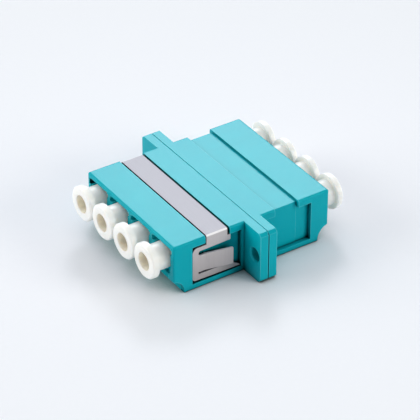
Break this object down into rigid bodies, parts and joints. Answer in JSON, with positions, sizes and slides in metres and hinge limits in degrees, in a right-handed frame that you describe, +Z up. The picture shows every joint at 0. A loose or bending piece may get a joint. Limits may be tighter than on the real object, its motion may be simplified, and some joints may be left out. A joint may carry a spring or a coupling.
{
  "type": "lc fibre adapter",
  "caption": "Row of small fibre plug ports through a moulded body with a screw flange, a folded clip for a panel and push-in dust caps.",
  "frame": {"origin": "middle of the underside, on the seam between the two half shells", "axes": "+Z up from the face it rests on, +Y along the fibres from the front half with the clip to the rear half, +X along the row of ports"},
  "size_m": [0.0346, 0.0362, 0.0093],
  "materials": {
    "shell": "aqua moulded plastic, satin",
    "clip": "stainless spring strip, fine grain",
    "sleeve": "white zirconia ceramic, polished",
    "cap": "milky soft plastic, slightly see-through"
  },
  "bodies": {
    "housing": {"front_shell": "shell", "rear_shell": "shell", "panel_clip": "clip", "split_sleeve_1": "sleeve", "split_sleeve_2": "sleeve", "split_sleeve_3": "sleeve", "split_sleeve_4": "sleeve"},
    "front_cap_1": {"front_cap_1": "cap"},
    "front_cap_2": {"front_cap_2": "cap"},
    "front_cap_3": {"front_cap_3": "cap"},
    "front_cap_4": {"front_cap_4": "cap"},
    "rear_cap_1": {"rear_cap_1": "cap"},
    "rear_cap_2": {"rear_cap_2": "cap"},
    "rear_cap_3": {"rear_cap_3": "cap"},
    "rear_cap_4": {"rear_cap_4": "cap"}
  },
  "joints": [
    {"name": "front_cap_1_pull", "type": "slide", "parent": "housing", "child": "front_cap_1", "axis": [0, -1, 0], "range_m": [0, 0.012]},
    {"name": "front_cap_2_pull", "type": "slide", "parent": "housing", "child": "front_cap_2", "axis": [0, -1, 0], "range_m": [0, 0.012]},
    {"name": "front_cap_3_pull", "type": "slide", "parent": "housing", "child": "front_cap_3", "axis": [0, -1, 0], "range_m": [0, 0.012]},
    {"name": "front_cap_4_pull", "type": "slide", "parent": "housing", "child": "front_cap_4", "axis": [0, -1, 0], "range_m": [0, 0.012]},
    {"name": "rear_cap_1_pull", "type": "slide", "parent": "housing", "child": "rear_cap_1", "axis": [0, 1, 0], "range_m": [0, 0.012]},
    {"name": "rear_cap_2_pull", "type": "slide", "parent": "housing", "child": "rear_cap_2", "axis": [0, 1, 0], "range_m": [0, 0.012]},
    {"name": "rear_cap_3_pull", "type": "slide", "parent": "housing", "child": "rear_cap_3", "axis": [0, 1, 0], "range_m": [0, 0.012]},
    {"name": "rear_cap_4_pull", "type": "slide", "parent": "housing", "child": "rear_cap_4", "axis": [0, 1, 0], "range_m": [0, 0.012]}
  ]
}
